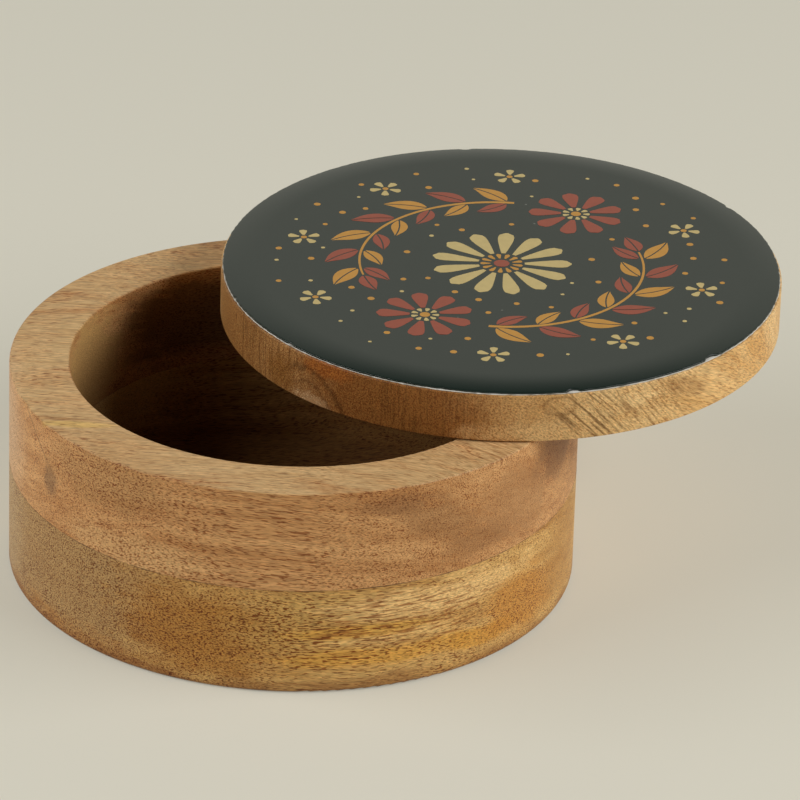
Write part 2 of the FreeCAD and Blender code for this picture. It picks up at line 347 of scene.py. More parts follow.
@dataclass(frozen=True)
class MangoFinish:
    """Mango wood, turned and sanded, with a thin satin oil.

    The eye sees growth bands, a dense stipple of short pores that are dashes along the grain and
    dots on the end grain, fine fibres, and streaky patches of other colours in the heartwood. Some
    patches are painted shade, painted light or a painted sheen instead of wood.
    Sizes are in mm, those of three numbers along the axes of the grain frame.

    Attributes:
        name: material name.
        grain: Euler turn of the grain frame in degrees. Its x axis runs along the grain and its y
            axis across the growth layers.
        pale: colour of the light bands.
        late: colour of the dark bands.
        pore: colour that multiplies the wood in the pores.
        pore_size: size of a pore.
        pore_share: share of the surface that pores take, from 0 to 1.
        fibre: size of the fibres between the pores.
        pore_strength: how dark the pores are, from 0 to 1.
        stipple: how much lighter or darker the fibres are, from 0 to 1.
        band: width of the growth bands.
        arch: how fast the grain bends along its z axis on the right-hand side, in 1/mm.
        patches: patches of other colours, some of them painted shade, light or sheen, painted in order.
        hollow: the inside with its painted shade, if the board has one.
        band_length: length of the growth bands.
        streak: size of the finer streaks in them.
        cloud: size of the clouds in which the pores are dense.
        wander: how far the grain wanders from straight.
        drift: length over which it wanders.
        fibre_span: noise values of the dark and the light fibres.
        band_span: noise values of the pale and the late bands.
        line_span: noise values of the gaps and the lines of growth.
        dense_span: density of the pores where they are faint and where they are strong.
        rough: roughness of the dark and the light fibres.
        gloss: specular level of the oil.
        relief: depth of the pores in the bump.
    """

    name: str
    grain: Triple
    pale: str
    late: str
    pore: str
    pore_size: Triple
    pore_share: float
    fibre: Triple
    pore_strength: float = 0.95
    stipple: float = 0.4
    band: float = 8.0
    arch: float = 0.0
    patches: tuple[Patch, ...] = ()
    hollow: ShadedHollow | None = None
    band_length: float = 140.0
    streak: Triple = (45.0, 1.4, 5.0)
    cloud: Triple = (16.0, 5.0, 5.0)
    wander: float = 7.0
    drift: float = 45.0
    fibre_span: Pair = (0.25, 0.75)
    band_span: Pair = (0.6, 1.1)
    line_span: Pair = (0.48, 0.62)
    dense_span: Pair = (0.6, 1.4)
    rough: Pair = (0.4, 0.54)
    gloss: float = 0.3
    relief: float = 0.12

    def build(self) -> Material:
        """Makes the material."""
        material, tree, place = new_material(self.name)
        grain = self._grain(tree, place)
        streaks = self._noise(tree, grain, self.streak, 3.0)
        cloud = self._noise(tree, grain, self.cloud, 3.0)
        ragged = add(tree, "Math", {0: cloud, 1: streaks}, operation="ADD")[0]
        tone, density = self._patches(tree, place, ragged, self._bands(tree, grain, streaks))
        fibres = self._noise(tree, grain, self.fibre, 2.0)
        strand = {"Value": fibres, "From Min": self.fibre_span[0], "From Max": self.fibre_span[1]}
        shade = add(tree, "MapRange", strand | {"To Min": 1.0 - self.stipple, "To Max": 1.0 + self.stipple})
        tone = add(tree, "VectorMath", {0: tone, "Scale": shade[0]}, operation="SCALE")[0]
        pores = self._pores(tree, grain, density)
        multiply_blend = {"data_type": "RGBA", "blend_type": "MULTIPLY"}
        tone = add(tree, "Mix", {0: pores, MIX_A: tone, MIX_B: linear(self.pore)}, **multiply_blend)[MIXED]
        rough = add(tree, "MapRange", strand | {"To Min": self.rough[0], "To Max": self.rough[1]})[0]
        # Painted shade in the hollow: the wood is multiplied darker with depth, and is rougher where it is
        # raw
        if self.hollow:
            inside = self._inside(tree, place, self.hollow)
            dark = {0: inside, MIX_A: tone, MIX_B: linear(self.hollow.share)}
            tone = add(tree, "Mix", dark, **multiply_blend)[MIXED]
            rough = add(tree, "MapRange", {
                "Value": inside, "From Max": self.hollow.raw, "To Min": rough, "To Max": self.hollow.rough,
            })[0]
        relief = add(tree, "Math", {0: pores, 1: -1.0, 2: fibres}, operation="MULTIPLY_ADD")[0]
        bump = add(tree, "Bump", {"Strength": 0.3, "Distance": self.relief * MM, "Height": relief})[0]
        surface(tree, {
            "Base Color": tone, "Roughness": rough, "Specular IOR Level": self.gloss, "IOR": 1.45,
            "Normal": bump,
        })
        return material

    def _grain(self, tree: NodeTree, place: NodeSocket) -> NodeSocket:
        """Turns a place into mm along the grain frame, arches the grain and lets it wander.

        Args:
            tree: the material's node tree.
            place: object coordinates in metres.

        Returns:
            The socket with the wandering grain coordinates in mm.
        """
        grain = add(tree, "Mapping", {
            "Vector": place, "Rotation": tuple(map(math.radians, self.grain)), "Scale": (MM, MM, MM),
        }, vector_type="TEXTURE")[0]
        if self.arch:
            along = add(tree, "SeparateXYZ", {0: grain})["X"]
            along = add(tree, "Math", {0: along, 1: 0.0}, operation="MAXIMUM")[0]
            bend = add(tree, "Math", {0: along, 1: along}, operation="MULTIPLY")[0]
            arched = {0: bend, 1: (0.0, 0.0, self.arch), 2: grain}
            grain = add(tree, "VectorMath", arched, operation="MULTIPLY_ADD")[0]
        drift = add(tree, "TexNoise", {"Vector": grain, "Scale": 1.0 / self.drift, "Detail": 2.0})["Color"]
        wandering = {0: drift, 1: (0.0, self.wander, self.wander), 2: grain}
        return add(tree, "VectorMath", wandering, operation="MULTIPLY_ADD")[0]

    def _noise(self, tree: NodeTree, grain: NodeSocket, size: Triple, detail: float) -> NodeSocket:
        """Noise stretched along the axes of a frame.

        Args:
            tree: the material's node tree.
            grain: coordinates in that frame.
            size: size of its blobs along the three axes, in the same unit.
            detail: octaves of finer noise.

        Returns:
            The noise value, about 0.5 in the mean.
        """
        stretched = add(tree, "Mapping", {"Vector": grain, "Scale": size}, vector_type="TEXTURE")[0]
        return add(tree, "TexNoise", {"Vector": stretched, "Scale": 1.0, "Detail": detail})[0]

    def _bands(self, tree: NodeTree, grain: NodeSocket, streaks: NodeSocket) -> NodeSocket:
        """Mixes the pale and late colours in growth bands with finer streaks in them.

        Args:
            tree: the material's node tree.
            grain: grain coordinates in mm.
            streaks: noise of the finer streaks.

        Returns:
            The colour socket.
        """
        streak_share = 0.7
        bands = self._noise(tree, grain, (self.band_length, self.band, 4.0 * self.band), 2.0)
        both = add(tree, "Math", {0: streaks, 1: streak_share, 2: bands}, operation="MULTIPLY_ADD")[0]
        low, high = self.band_span
        share = add(tree, "MapRange", {"Value": both, "From Min": low, "From Max": high})[0]
        colours = {0: share, MIX_A: linear(self.pale), MIX_B: linear(self.late)}
        return add(tree, "Mix", colours, data_type="RGBA")[MIXED]

    def _patches(
        self, tree: NodeTree, place: NodeSocket, ragged: NodeSocket, tone: NodeSocket
    ) -> tuple[NodeSocket, NodeSocket]:
        """Paints the patches in order.

        Args:
            tree: the material's node tree.
            place: object coordinates in metres.
            ragged: noise of about 1 that makes the edges streaky, and where it is high the pores dense.
            tone: colour without the patches.

        Returns:
            The colour and the density of the pores.
        """
        density = ragged
        for patch in self.patches:
            inside = add(tree, "Mapping", {
                "Vector": place,
                "Location": tuple(MM * c for c in patch.centre),
                "Rotation": tuple(map(math.radians, patch.turn)),
                "Scale": tuple(MM * c for c in patch.reach),
            }, vector_type="TEXTURE")[0]
            reach = add(tree, "VectorMath", {0: inside}, operation="LENGTH")["Value"]
            edge = add(tree, "Math", {0: ragged, 1: patch.ragged, 2: reach}, operation="MULTIPLY_ADD")[0]
            near, far = (patch.ragged + end for end in patch.ends)
            if patch.shell:
                away = add(tree, "Math", {0: edge, 1: patch.ragged + 1.0}, operation="SUBTRACT")[0]
                edge = add(tree, "Math", {0: away}, operation="ABSOLUTE")[0]
                near, far = 0.0, patch.shell
            share = add(tree, "MapRange", {
                "Value": edge, "From Min": far, "From Max": near, "To Max": patch.strength,
            }, interpolation_type="SMOOTHSTEP")[0]
            if patch.lines:
                length, gap = patch.lines
                depth = 10.0 * gap
                size = (length / patch.reach[0], gap / patch.reach[1], depth / patch.reach[2])
                grown = self._noise(tree, inside, size, 1.0)
                low, high = self.line_span
                lines = add(tree, "MapRange", {"Value": grown, "From Min": low, "From Max": high})[0]
                share = add(tree, "Math", {0: share, 1: lines}, operation="MULTIPLY")[0]
            painted = {0: share, MIX_A: tone, MIX_B: linear(patch.colour)}
            tone = add(tree, "Mix", painted, data_type="RGBA")[MIXED]
            if patch.pores:
                denser = {0: share, 1: patch.pores, 2: density}
                density = add(tree, "Math", denser, operation="MULTIPLY_ADD")[0]
        return tone, density

    def _pores(self, tree: NodeTree, grain: NodeSocket, density: NodeSocket) -> NodeSocket:
        """Cuts the pores: noise stretched along the grain, dark where it is high.

        Args:
            tree: the material's node tree.
            grain: grain coordinates in mm.
            density: where pores are dense, about 1 in the mean.

        Returns:
            How far the colour goes to the pore's.
        """
        crowding, edge, faint = 0.08, 0.07, 0.55
        rare, common = 0.7, 0.45
        start = rare + (common - rare) * self.pore_share
        flecks = self._noise(tree, grain, self.pore_size, 1.0)
        packed = add(tree, "Math", {0: density, 1: crowding, 2: flecks}, operation="MULTIPLY_ADD")[0]
        core = add(tree, "MapRange", {"Value": packed, "From Min": start, "From Max": start + edge})[0]
        strong = add(tree, "MapRange", {
            "Value": density, "From Min": self.dense_span[0], "From Max": self.dense_span[1],
            "To Min": faint * self.pore_strength, "To Max": self.pore_strength,
        })[0]
        return add(tree, "Math", {0: core, 1: strong}, operation="MULTIPLY")[0]

    def _inside(self, tree: NodeTree, place: NodeSocket, hollow: ShadedHollow) -> NodeSocket:
        """Finds where the painted shade of the inside falls, more so with its depth.

        Args:
            tree: the material's node tree.
            place: object coordinates in metres.
            hollow: the inside.

        Returns:
            How far a place is inside, from 0 at the mouth and outside to 1.
        """
        level = add(tree, "VectorMath", {0: place, 1: (1.0, 1.0, 0.0)}, operation="MULTIPLY")[0]
        near, far = ((hollow.radius + depth) * MM for depth in hollow.skin)
        within = add(tree, "MapRange", {
            "Value": add(tree, "VectorMath", {0: level}, operation="LENGTH")["Value"],
            "From Min": far, "From Max": near,
        })[0]
        height = add(tree, "SeparateXYZ", {0: place})["Z"]
        deep = add(tree, "MapRange", {
            "Value": height, "From Min": (hollow.rim - hollow.lip) * MM,
            "From Max": (hollow.rim - hollow.fade) * MM, "To Max": within,
        })[0]
        above = add(tree, "Math", {0: height, 1: hollow.foot * MM}, operation="GREATER_THAN")[0]
        return add(tree, "Math", {0: deep, 1: above}, operation="MULTIPLY")[0]


@dataclass(frozen=True)
class EnamelFinish:
    """Cold enamel, poured as resin and left to level: a deep charcoal under a clear gloss.

    The eye sees a black-green ground under the pale veil of what it mirrors, and a few dust specks.

    Attributes:
        name: material name.
        colour: colour of the enamel.
        dust: colour of the dust.
        dust_share: how far a speck shows, from 0 to 1.
        dust_gap: mean distance between specks, in mm.
        dust_size: inner and outer radius of a speck, as shares of that distance.
        haze: size of the clouds in the gloss, in mm.
        rough: roughness in the clear and the clouded places.
    """

    name: str = "charcoal_resin_enamel"
    colour: str = "#1b2722"
    dust: str = "#8f9088"
    dust_share: float = 0.5
    dust_gap: float = 11.0
    dust_size: Pair = (0.015, 0.03)
    haze: float = 14.0
    rough: Pair = (0.1, 0.2)

    def build(self) -> Material:
        """Makes the material."""
        material, tree, place = new_material(self.name)
        cells = add(tree, "TexVoronoi", {"Vector": place, "Scale": 1.0 / (self.dust_gap * MM)})
        share = add(tree, "MapRange", {
            "Value": cells["Distance"], "From Min": self.dust_size[1], "From Max": self.dust_size[0],
            "To Max": self.dust_share,
        })[0]
        colours = {0: share, MIX_A: linear(self.colour), MIX_B: linear(self.dust)}
        tone = add(tree, "Mix", colours, data_type="RGBA")[MIXED]
        haze = add(tree, "TexNoise", {"Vector": place, "Scale": 1.0 / (self.haze * MM), "Detail": 3.0})[0]
        rough = add(tree, "MapRange", {"Value": haze, "To Min": self.rough[0], "To Max": self.rough[1]})[0]
        surface(tree, {"Base Color": tone, "Roughness": rough, "IOR": 1.5})
        return material


@dataclass(frozen=True)
class InkFinish:
    """Screen-print ink sealed under the enamel's gloss: an even colour with a slight mottle.

    Attributes:
        ink: which ink.
        mottle: size of the mottle, in mm.
        shade: how dark and how light the mottle is.
        rough: roughness.
    """

    ink: Ink
    mottle: float = 1.8
    shade: Pair = (0.88, 1.1)
    rough: float = 0.18

    def build(self) -> Material:
        """Makes the material."""
        material, tree, place = new_material(f"{self.ink.name.lower()}_print_ink")
        mottle = add(tree, "TexNoise", {"Vector": place, "Scale": 1.0 / (self.mottle * MM), "Detail": 2.0})[0]
        share = add(tree, "MapRange", {"Value": mottle, "To Min": self.shade[0], "To Max": self.shade[1]})[0]
        flat = linear(self.ink.value)[:3]
        tone = add(tree, "VectorMath", {0: flat, "Scale": share}, operation="SCALE")[0]
        surface(tree, {"Base Color": tone, "Roughness": self.rough, "IOR": 1.5})
        return material


@dataclass(frozen=True)
class CloudedFinish:
    """A plain finish with soft clouds in its colour or its shine.

    Attributes:
        name: material name.
        colours: sRGB hex colours of the clear and the clouded places.
        rough: roughness of the clear and the clouded places.
        cloud: size of the clouds, in mm.
        detail: octaves of finer clouds.
        span: noise values of the clear and the clouded places.
        sockets: what else is set on the shader.
    """

    name: str
    colours: tuple[str, str]
    rough: Pair
    cloud: float
    detail: float
    span: Pair
    sockets: dict[str, Any]

    def build(self) -> Material:
        """Makes the material. A colour or a roughness that is the same all over is set as it is."""
        material, tree, place = new_material(self.name)
        noise = {"Vector": place, "Scale": 1.0 / (self.cloud * MM), "Detail": self.detail}
        span = {"Value": add(tree, "TexNoise", noise)[0], "From Min": self.span[0], "From Max": self.span[1]}
        clear, clouded = (linear(colour) for colour in self.colours)
        inputs: dict[str, Any] = {"Base Color": clear, "Roughness": self.rough[0]}
        if clear != clouded:
            colours = {0: add(tree, "MapRange", span)[0], MIX_A: clear, MIX_B: clouded}
            inputs["Base Color"] = add(tree, "Mix", colours, data_type="RGBA")[MIXED]
        if self.rough[0] != self.rough[1]:
            rough = span | {"To Min": self.rough[0], "To Max": self.rough[1]}
            inputs["Roughness"] = add(tree, "MapRange", rough)[0]
        surface(tree, inputs | self.sockets)
        return material


# White primer under the enamel, brushed on and sanded flat: chalky, with soft grey soiling
WHITE_PRIMER = CloudedFinish(
    "white_primer", ("#dcd8cf", "#8b8375"), (0.75, 0.75), 2.2, 3.0, (0.45, 0.75), {"IOR": 1.5}
)

# Wood glue pressed out of the seam and sanded: a dark, dusty brown line
WOOD_GLUE = CloudedFinish(
    "wood_glue", ("#5c3c1e", "#a8804f"), (0.6, 0.6), 5.0, 3.0, (0.4, 0.7), {"IOR": 1.45}
)

# Zinc-plated steel, rolled and plated: grey metal with a faint mottle in its shine
ZINC_PLATED_STEEL = CloudedFinish(
    "zinc_plated_steel", ("#b4b6b3", "#b4b6b3"), (0.25, 0.45), 1.1, 2.0, (0.0, 1.0), {"Metallic": 1.0}
)

# Opal acrylic, cast and matt: warm off-white, and its material glows as painted light from below, which
# lights the box and leaves weak shadows
GLOWING_OPAL_ACRYLIC = CloudedFinish("glowing_opal_acrylic", ("#b3afa2", "#b3afa2"), (0.8, 0.95), 90.0, 2.0, (0.0, 1.0), {
    "IOR": 1.4, "Emission Color": linear("#a09e92"), "Emission Strength": 0.74,
})


@dataclass
class TurnedBox:
    """The two glued boards of the box: a coved bowl below and a plain ring above.

    Attributes:
        bead_depth: half the depth of the glue bead, in mm.
        bead_height: half its height, in mm.
        bead_proud: how far it stands out of the wood, in mm.
        bead_wave: how far that varies, in mm.
        columns: points round the bead.
        rows: points round the bead's section.
    """

    bead_depth: float = 0.12
    bead_height: float = 0.15
    bead_proud: float = 0.008
    bead_wave: float = 0.018
    columns: int = 480
    rows: int = 12
    outer: float = field(init=False)
    bore: float = field(init=False)
    seam: float = field(init=False)
    rim: float = field(init=False)

    def __post_init__(self) -> None:
        """Reads the box's sizes from the frame."""
        low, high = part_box("upper_ring")
        self.outer = high.x / MM
        self.seam = low.z / MM
        self.rim = high.z / MM
        vertices = frame["nodes"]["upper_ring"].data.vertices
        corners = np.empty(len(vertices) * 3, np.float32)
        vertices.foreach_get("co", corners)
        self.bore = float(np.hypot(corners[0::3], corners[1::3]).min()) / MM

    def dress(self) -> None:
        """Gives both boards their wood."""
        # The inside of both boards gets painted shade that darkens the wood more with depth
        hollow = ShadedHollow(radius=self.bore, rim=self.rim, share="#624712")
        dress("lower_bowl", MangoFinish(
            name="mango_lower_board", grain=(82.0, 3.0, 12.0), pale="#e6bc76", late="#bb8744", pore="#9a683a",
            pore_size=(2.2, 0.29, 0.32), pore_share=0.2, fibre=(3.0, 0.24, 0.28), band=6.0, hollow=hollow,
            patches=(
                # Painted light: a pale patch with few pores on the lower inner wall at the back left, where
                # light falls in
                Patch((-39, 31, 21), (6, 18, 8), "#f6d08a", 0.55, (0, 0, -38), pores=-1.2),
                Patch((-55, -30, 13), (38, 44, 34), "#b28c5b", 0.85, pores=0.6),
                # Painted sheen: a pale strip down the left side of the lower board
                Patch((-66, -10, 14), (6.5, 34, 30), "#cdb086", 0.5, ragged=0.2),
                Patch((-20, -60, 13), (24, 14, 12), "#b3782e", 0.8, pores=0.5),
                Patch((6, -63, 16), (20, 12, 9), "#d0a45c", 0.7, pores=0.6),
                Patch((30, -56, 20), (26, 16, 3.8), "#f0c684", 0.9, (0, 0, 28), pores=-0.4),
                Patch((20, -60.3, 12.6), (16, 10, 1.9), "#f0c47c", 0.8, (0, 0, 18), pores=-0.3),
                Patch((13, -62, 14.6), (17, 9, 1.7), "#dca648", 0.75, (0, 0, 11)),
                Patch((18, -60.5, 8.2), (26, 14, 2.4), "#e0a648", 0.8, (0, 0, 16), pores=0.3),
                Patch((41, -48.5, 6.6), (13, 11, 2.6), "#d5993c", 0.8, (0, 0, 40)),
                Patch((26, -58, 16.4), (24, 8, 12), "#96521c", 0.75, (90, 0, 26), lines=(6, 0.5)),
                Patch((50, -39, 10.5), (14, 14, 7.5), "#c98a3a", 0.8, (0, 0, 40), pores=0.4),
                Patch((59, -22, 14), (9, 13, 12), "#b58242", 0.6, pores=-0.3),
                Patch((-50, -40, -1.5), (36, 36, 6.5), "#bf8848", 0.75),
                # Painted shade: the wood darkens towards the table along the foot
                Patch((0, 0, -2.2), (240, 240, 5), "#8f5a2c", 0.75),
                # Painted contact shadow: a thin dark line along the bottom edge of the foot
                Patch((0, 0, -0.4), (240, 240, 0.8), "#2e1a0c", 0.75),
            ),
        ).build())
        dress("upper_ring", MangoFinish(
            name="mango_upper_board", grain=(75.0, 4.0, -3.0), pale="#dfab72", late="#bc844e", pore="#a06c38",
            pore_size=(2.6, 0.27, 0.34), pore_share=0.27, fibre=(3.0, 0.24, 0.32), stipple=0.34,
            arch=-0.0087, hollow=hollow,
            patches=(
                # Painted shade: a dark patch on the inner wall at the back left, where the lid shades it
                Patch((-22, 45, 38), (26, 14, 11), "#5c3913", 0.8, (0, 0, 28)),
                # Painted light: a pale patch with few pores high on the inner wall at the left, where the
                # light from the right falls in
                Patch((-47, 16, 36), (6, 20, 16), "#c89f60", 0.8, (0, 0, -19), pores=-1.6),
                Patch((0, 0, self.rim + 0.35), (400, 400, 0.55), "#d1b07e", 0.75, pores=-0.7),
                Patch((-10, 0, self.rim), (90, 90, 0.8), "#a67a46", 0.4, (0, 0, -7), lines=(26, 0.7)),
                # Painted sheen: a pale strip down the left side of the upper board
                Patch((-66, -10, 36), (6.5, 34, 16), "#e0bd97", 0.6, ragged=0.2),
                Patch((-54, -33.4, 35.6), (2.8, 2.8, 3.2), "#7f5f42", 0.6),
                Patch((-56.8, -28, 44.2), (8.5, 0.25, 4), "#6b4a2f", 0.5, (90, 40, -65)),
                Patch((-42, -47.5, 43), (18, 16, 7), "#b38450", 0.6, (0, 0, -40), pores=0.3),
                Patch((-36, -52.4, 28.4), (20, 12, 4.6), "#e0b47c", 0.5, (0, 0, -34), pores=0.3),
                Patch((30, -55.8, 39), (11, 8, 5), "#9e6f43", 0.6, (0, 20, 29), pores=-0.3),
                Patch((21, -59.8, 45), (9, 6, 2.6), "#98683e", 0.6, (0, 0, 20)),
                Patch((40, -49.6, 31), (10, 8, 3.4), "#9e6e42", 0.6, (0, 0, 38), pores=-0.3),
                Patch((48.4, -41, 36), (12, 10, 9), "#aa7a4c", 0.6, (0, 20, 50), pores=-0.5),
                # Partly darker wood, partly painted shade under the lid's overhang on the right
                Patch((57, -28, 42), (9, 9, 7), "#8a5d37", 0.65),
                Patch((-49.3, -31.5, self.rim), (8, 1.5, 1.5), "#dcb566", 0.65, (0, 0, -6)),
                Patch((-51, -28.7, self.rim), (7, 0.35, 1), "#84592c", 0.5, (0, 0, -9)),
                Patch((42, -44, self.rim), (14, 7, 2), "#935d30", 0.6, (0, 0, -38), lines=(14, 0.9)),
            ),
        ).build())

    def build(self, glue: Material) -> None:
        """Lays the glue beads on the outside and the inside of the seam.

        A bead's section is the ellipse r = R + a cos s, z = seam + b sin s. R varies round the box,
        so the line comes and goes.

        Args:
            glue: finish of the beads.
        """
        section = angles(self.rows)[:, None]
        theta = angles(self.columns)
        wave = self.bead_wave * sine_noise(theta, np.arange(5, 60, 6), seed=11)
        sides = {"seam_bead_outside": (self.outer, 1.0), "seam_bead_inside": (self.bore, -1.0)}
        for name, (wall, side) in sides.items():
            middle = wall + side * (self.bead_proud - self.bead_depth + wave)
            radii = middle + self.bead_depth * np.cos(section)
            heights = self.seam + self.bead_height * np.sin(section) + 0.0 * theta
            bead = turned_piece(name, (0.0, 0.0), radii, heights, glue, capped=False)
            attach(bead, Body.BOX.value)
            LOG.info("%s laid on the seam", name)


@dataclass
class PivotHardware:
    """The screw and washer that the lid turns on, hidden in the wood."""

    def dress(self) -> None:
        """Gives the screw and washer their plating."""
        steel = ZINC_PLATED_STEEL.build()
        dress("pivot_screw", steel)
        dress("pivot_washer", steel)


@dataclass(frozen=True)
class Chip:
    """A place where the enamel's edge has broken away from the ground.

    Attributes:
        angle: its direction from the lid's axis at rest, in degrees.
        width: half its width along the edge, in mm.
        depth: how far the enamel is broken back, in mm.
    """

    angle: float
    width: float
    depth: float


class Motifs:
    """Collects the printed motifs of one ink as flat grids in the lid's own plane, in mm."""

    def __init__(self) -> None:
        """Starts with no motifs."""
        self.grids: list[Array] = []

    def leaf(self, base: Array, way: float, length: float, width: float, bend: float, gap: float) -> None:
        """Adds a leaf of two halves beside an unprinted vein.

        The vein is an arc M(u) that turns by bend from base to tip. A half spans
        M(u) + side (gap + v W(u)) n(u), with v from 0 to 1 and the width W(u) a sine that leans
        towards the base.

        Args:
            base: where the leaf starts.
            way: direction at the base, in radians.
            length: length along the vein.
            width: half width.
            bend: turn of the vein, in radians.
            gap: half the width of the vein.
        """
        u = np.linspace(0.03, 0.98, 13)
        turn = way + bend * u
        step = heading(turn) * (length / len(u))
        vein = base + np.cumsum(step, axis=0) - step[0]
        across = heading(turn + QUARTER)
        half = width * np.sin(math.pi * u ** 0.8)
        v = np.linspace(0.0, 1.0, 4)[None, :, None]
        for side in (1.0, -1.0):
            offset = gap + v * np.maximum(half - gap, 0.05)[:, None, None]
            self.grids.append(vein[:, None, :] + side * offset * across[:, None, :])

    def petal(self, base: Array, way: float, length: float, width: float) -> None:
        """Adds a plain petal, P(u, v) = base + u length d + v W(u) n, round at its end.

        Args:
            base: where the petal starts.
            way: direction, in radians.
            length: length.
            width: half width at its widest.
        """
        u = np.linspace(0.0, 1.0, 11)
        along, across = heading(way), heading(way + QUARTER)
        half = width * (0.18 + 0.82 * u ** 0.9) * np.sqrt(np.maximum(1.0 - u ** 6, 0.01))
        v = np.linspace(-1.0, 1.0, 5)
        self.grids.append(
            base + (u * length)[:, None, None] * along + (half[:, None] * v[None, :])[:, :, None] * across
        )

    def dot(self, centre: Array, radius: float) -> None:
        """Adds a round dot: a square grid (a, b) pressed to a disc, (a sqrt(1 - b²/2), b sqrt(1 - a²/2)).

        Args:
            centre: its middle.
            radius: its radius.
        """
        a, b = np.meshgrid(np.linspace(-1.0, 1.0, 7), np.linspace(-1.0, 1.0, 7), indexing="ij")
        disc = np.stack([a * np.sqrt(1.0 - b * b / 2.0), b * np.sqrt(1.0 - a * a / 2.0)], axis=-1)
        self.grids.append(centre + radius * disc)

    def stem(self, path: Array, width: float) -> None:
        """Adds a stem: a ribbon P(u, v) = path(u) + v W(u) n(u) that tapers to its end.

        Args:
            path: (n, 2) points along the stem.
            width: half width at the start.
        """
        along = np.gradient(path, axis=0)
        along /= np.linalg.norm(along, axis=1, keepdims=True)
        across = np.stack([-along[:, 1], along[:, 0]], axis=-1)
        half = width * np.linspace(1.0, 0.45, len(path))
        v = np.linspace(-1.0, 1.0, 3)
        self.grids.append(path[:, None, :] + (half[:, None] * v)[:, :, None] * across[:, None, :])

    def points(self) -> Array:
        """All grid points so far, as one (n, 2) array."""
        return np.concatenate([g.reshape(-1, 2) for g in self.grids]) if self.grids else np.zeros((0, 2))

    def faces(self) -> list[list[int]]:
        """Quads of all grids, numbered as the points are, with their faces up."""
        faces: list[list[int]] = []
        start = 0
        for grid in self.grids:
            rows, columns = grid.shape[:2]
            index = start + np.arange(rows * columns).reshape(rows, columns)
            quads = np.stack([index[:-1, :-1], index[1:, :-1], index[1:, 1:], index[:-1, 1:]], axis=-1)
            along, across = grid[1, 0] - grid[0, 0], grid[0, -1] - grid[0, 0]
            if along[0] * across[1] - along[1] * across[0] < 0.0:
                quads = quads[:, :, ::-1]
            faces += quads.reshape(-1, 4).tolist()
            start += rows * columns
        return faces


@dataclass(frozen=True)
class Blossom:
    """A round blossom: a ring of petals, a ring of small petals inside it, and a heart.

    Attributes:
        outer: ink of the petals.
        inner: ink of the small petals.
        heart: ink of the heart.
        petals: number of petals.
        start: radius at which the petals start, in mm.
        length: length of the petals, in mm.
        width: half width of the petals, in mm.
    """

    outer: Ink
    inner: Ink
    heart: Ink
    petals: int
    start: float
    length: float
    width: float


